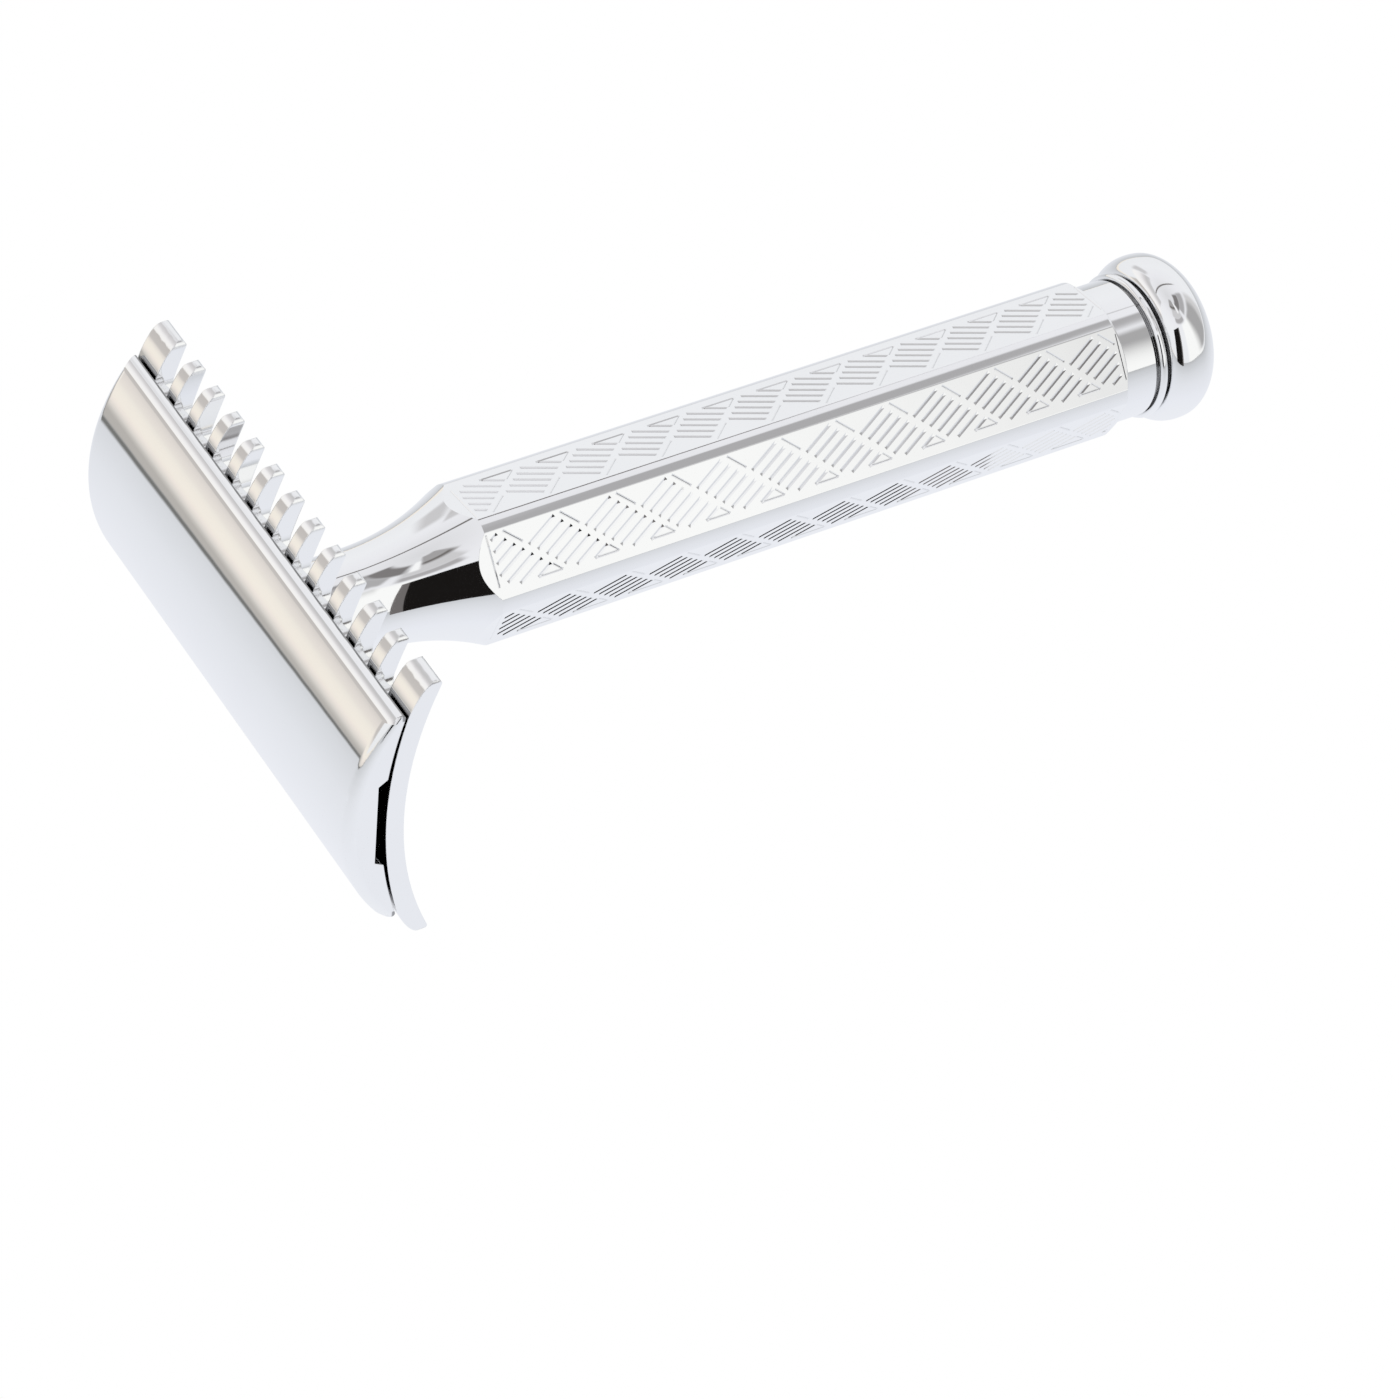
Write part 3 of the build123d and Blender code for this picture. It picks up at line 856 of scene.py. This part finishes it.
def floor_material():
    """A self-lit sheet, clear from below. Past its edge, on the cap's side, the room shows."""
    material, tree = bare_material("floor_pale")
    geometry = tree.new("ShaderNodeNewGeometry")
    facing = tree.size(tree.dot(geometry.outputs["Incoming"], tuple(FLOOR_UP)))
    sheet = tree.ramp(facing, SHEET_TONES)
    edge_direction = (math.cos(SHEET_EDGE_ANGLE), math.sin(SHEET_EDGE_ANGLE), 0.0)
    away = tree.dot(geometry.outputs["Position"], edge_direction)
    # a dark line marks the edge; distances in metres
    line = tree.times(tree.fade(away, 0.136, 0.145), tree.fade(away, 0.160, 0.150))
    beyond = tree.fade(away, 0.145, 0.160)
    seen = tree.mix(beyond, sheet, tree.ramp(facing, ROOM_TONES))
    seen = tree.mix(line, seen, srgb(120, 120, 118))
    emission = tree.new("ShaderNodeEmission")
    tree.put(emission.inputs["Color"], tree.white_to_camera(seen))
    clear = tree.new("ShaderNodeBsdfTransparent")
    pick = tree.new("ShaderNodeMixShader")
    tree.put(pick.inputs[0], geometry.outputs["Backfacing"])
    tree.put(pick.inputs[1], emission.outputs[0])
    tree.put(pick.inputs[2], clear.outputs[0])
    tree.put(tree.nodes["Material Output"].inputs["Surface"], pick.outputs[0])
    return material


def build_floor():
    turns = [2 * math.pi * i / FLOOR_SEGMENTS for i in range(FLOOR_SEGMENTS)]
    floor = flat_sheet("floor", [
        TOUCH + FLOOR_ALONG * (FLOOR_RADIUS * math.cos(a)) + ACROSS * (FLOOR_RADIUS * math.sin(a))
        for a in turns
    ])
    floor.data.materials.append(floor_material())


def build_flag(name, start, end, display):
    """An upright flag beside the razor, seen in reflections only."""
    origin = TOUCH - FLOOR_ALONG * (KNOB_WIDEST[0] * MM)
    corners = [(start, FLAG_LOW), (end, FLAG_LOW), (end, FLAG_HIGH), (start, FLAG_HIGH)]
    flag = flat_sheet(name, [
        origin + FLOOR_ALONG * (x * MM) + ACROSS * (FLAG_Y * MM) + FLOOR_UP * (h * MM)
        for x, h in corners
    ])
    material, tree = bare_material(name)
    emission = tree.new("ShaderNodeEmission")
    tree.put(emission.inputs["Color"], srgb(*display))
    tree.put(tree.nodes["Material Output"].inputs["Surface"], emission.outputs[0])
    flag.data.materials.append(material)
    flag.visible_camera = False
    flag.visible_diffuse = False
    flag.visible_shadow = False


# ------------------------------------------------------------------ light tent
# Directions are measured from the floor: azimuth from +X towards +Y, in degrees.
# position is elevation / 90; then display red, green, blue
SKY_TONES = [
    (0.0, 240, 241, 243), (0.35, 243, 244, 246), (0.6, 240, 240, 243), (1.0, 222, 222, 224),
]
# display colour, azimuth and half width, lowest and highest elevation,
# half the softness in azimuth and in elevation
PANELS = [
    ((255, 255, 253), 112, 22, -2, 49, 4, 3),       # side softbox, bright on the grip
    ((212, 211, 211), 168, 14, 4, 49, 6, 3),        # pale panel behind the knob
    ((172, 171, 171), 147, 19, 4, 49, 8, 3),        # grey panel between them
    ((176, 175, 176), 155, 28, 53, 64, 4, 2.5),     # tent's shoulder, knob side
    ((176, 174, 175), 86, 27, 51, 58, 5, 2.0),      # tent's shoulder, +Y side: folds
    ((208, 207, 208), 82, 32, 58, 69, 5, 1.5),
    ((166, 164, 164), 66, 28, 69, 84, 6, 1.5),
    ((118, 114, 112), 68, 24, 71, 74, 6, 0.8),
    ((252, 252, 252), 101, 6, 64, 78, 3, 2.0),      # slit of light beside them
    ((128, 125, 125), 146, 33, 64, 76, 6, 2.0),     # and the dark fold past it
]
WALL_FOLD = ((206, 205, 206), -86, 7, 22, 46, 4, 4)     # in the wall on the -Y side
# the wall past the cap: warm at the horizon, then shaded, then a bright rail;
# position is (elevation + 10) / 60
WALL_TONES = [
    (0.0, 247, 240, 229), (0.170, 247, 240, 229), (0.195, 243, 237, 227),
    (0.223, 236, 229, 221), (0.243, 229, 222, 216), (0.265, 211, 206, 200),
    (0.285, 203, 198, 194), (0.475, 198, 193, 189), (0.51, 252, 250, 247),
    (0.66, 250, 248, 247), (0.75, 243, 241, 241), (0.86, 219, 216, 217),
    (0.95, 200, 199, 199), (1.0, 206, 205, 206),
]


def build_world():
    world = bpy.data.worlds.new("studio")
    scene.world = world
    tree = Tree(world)
    direction = tree.new("ShaderNodeTexCoord").outputs["Generated"]
    along, across, up = [
        tree.dot(direction, tuple(axis)) for axis in (FLOOR_ALONG, ACROSS, FLOOR_UP)
    ]
    to_degrees = 180.0 / math.pi
    elevation = tree.times(tree.math("ARCSINE", up), to_degrees)
    azimuth = tree.times(tree.math("ARCTAN2", across, along), to_degrees)

    def add_panel(base, display, middle, half_width, low, high, soft_az, soft_el):
        turned = tree.math("ADD", tree.math("SUBTRACT", azimuth, middle), 540.0)
        wrapped = tree.math("MODULO", turned, 360.0)
        aside = tree.size(tree.math("SUBTRACT", wrapped, 180.0))
        mask = tree.times(
            tree.fade(aside, half_width + soft_az, half_width - soft_az),
            tree.fade(elevation, low - soft_el, low + soft_el),
            tree.fade(elevation, high + soft_el, high - soft_el),
        )
        return tree.mix(mask, base, srgb(*display))

    sky = tree.ramp(tree.math("DIVIDE", elevation, 90.0), SKY_TONES)
    for panel in PANELS:
        sky = add_panel(sky, *panel)

    # seam of the tent, along the handle, at a fixed roll about it
    roll = tree.times(tree.math("ARCTAN2", across, up), to_degrees)
    seam = tree.times(tree.fade(roll, -18.9, -17.9), tree.fade(roll, -15.7, -16.7))
    seam = tree.times(seam, tree.fade(along, -0.62, -0.48))
    sky = tree.mix(seam, sky, srgb(112, 108, 106))

    # the wall is narrower below 22 degrees than above
    height = tree.math("DIVIDE", tree.math("ADD", elevation, 10.0), 60.0)
    wall = tree.ramp(height, WALL_TONES)
    low_aside = tree.size(tree.math("ADD", azimuth, 27.0))
    low = tree.times(tree.fade(low_aside, 25, 20), tree.fade(elevation, 24, 20))
    high_aside = tree.size(tree.math("ADD", azimuth, 40.0))
    high_band = tree.times(tree.fade(elevation, 20, 24), tree.fade(elevation, 56, 52))
    high = tree.times(tree.fade(high_aside, 38, 34), high_band)
    sky = tree.mix(tree.math("ADD", low, high), sky, wall)
    sky = add_panel(sky, *WALL_FOLD)

    background = tree.nodes["Background"]
    tree.put(background.inputs["Color"], tree.white_to_camera(sky))
    background.inputs["Strength"].default_value = 1.0


def build_lamp():
    """Large soft overhead light, for anything that isn't a mirror."""
    light = bpy.data.lights.new("softbox", "AREA")
    light.shape = "RECTANGLE"
    light.size = light.size_y = 0.8
    light.energy = 1.5
    lamp = bpy.data.objects.new("softbox", light)
    lamp.location = (0.05, -0.1, 0.8)
    lamp.rotation_euler = (math.radians(-8), 0, 0)
    lamp.visible_glossy = False
    lamp.visible_camera = False
    scene.collection.objects.link(lamp)


# ------------------------------------------------------------------ camera
VIEW_AZIMUTH, VIEW_ELEVATION = math.radians(145.06), math.radians(43.95)   # azimuth from -Y
VIEW_ROLL = math.radians(6.47)
VIEW_DISTANCE = 0.387494
VIEW_TARGET = Vector((0.04195, 0.0, -0.023105))
FOCAL_LENGTH = 128.10236            # mm, on a sensor 36 mm wide


def build_camera():
    azimuth, elevation, roll = VIEW_AZIMUTH, VIEW_ELEVATION, VIEW_ROLL
    back = Vector((math.sin(azimuth) * math.cos(elevation),
                   -math.cos(azimuth) * math.cos(elevation), math.sin(elevation)))
    level = Vector((math.cos(azimuth), math.sin(azimuth), 0.0))
    upright = back.cross(level)
    right = level * math.cos(roll) + upright * math.sin(roll)
    up = -level * math.sin(roll) + upright * math.cos(roll)
    lens = bpy.data.cameras.new("camera")
    lens.sensor_width = 36.0
    lens.sensor_fit = "HORIZONTAL"
    lens.lens = FOCAL_LENGTH
    lens.clip_start = 0.01
    lens.clip_end = 50.0
    camera = bpy.data.objects.new("camera", lens)
    place = VIEW_TARGET + back * VIEW_DISTANCE
    camera.matrix_world = Matrix((
        (right.x, up.x, back.x, place.x),
        (right.y, up.y, back.y, place.y),
        (right.z, up.z, back.z, place.z),
        (0, 0, 0, 1),
    ))
    scene.collection.objects.link(camera)
    scene.camera = camera


def set_view():
    view = scene.view_settings
    view.view_transform = "Standard"
    view.look = "None"
    view.exposure = 0.0
    view.gamma = 1.0


dress_cad_pieces()
build_grip()
build_knob()
build_ring()
build_stud()
build_floor()
for flag_row in FLAGS:
    build_flag(*flag_row)
build_world()
build_lamp()
build_camera()
set_view()
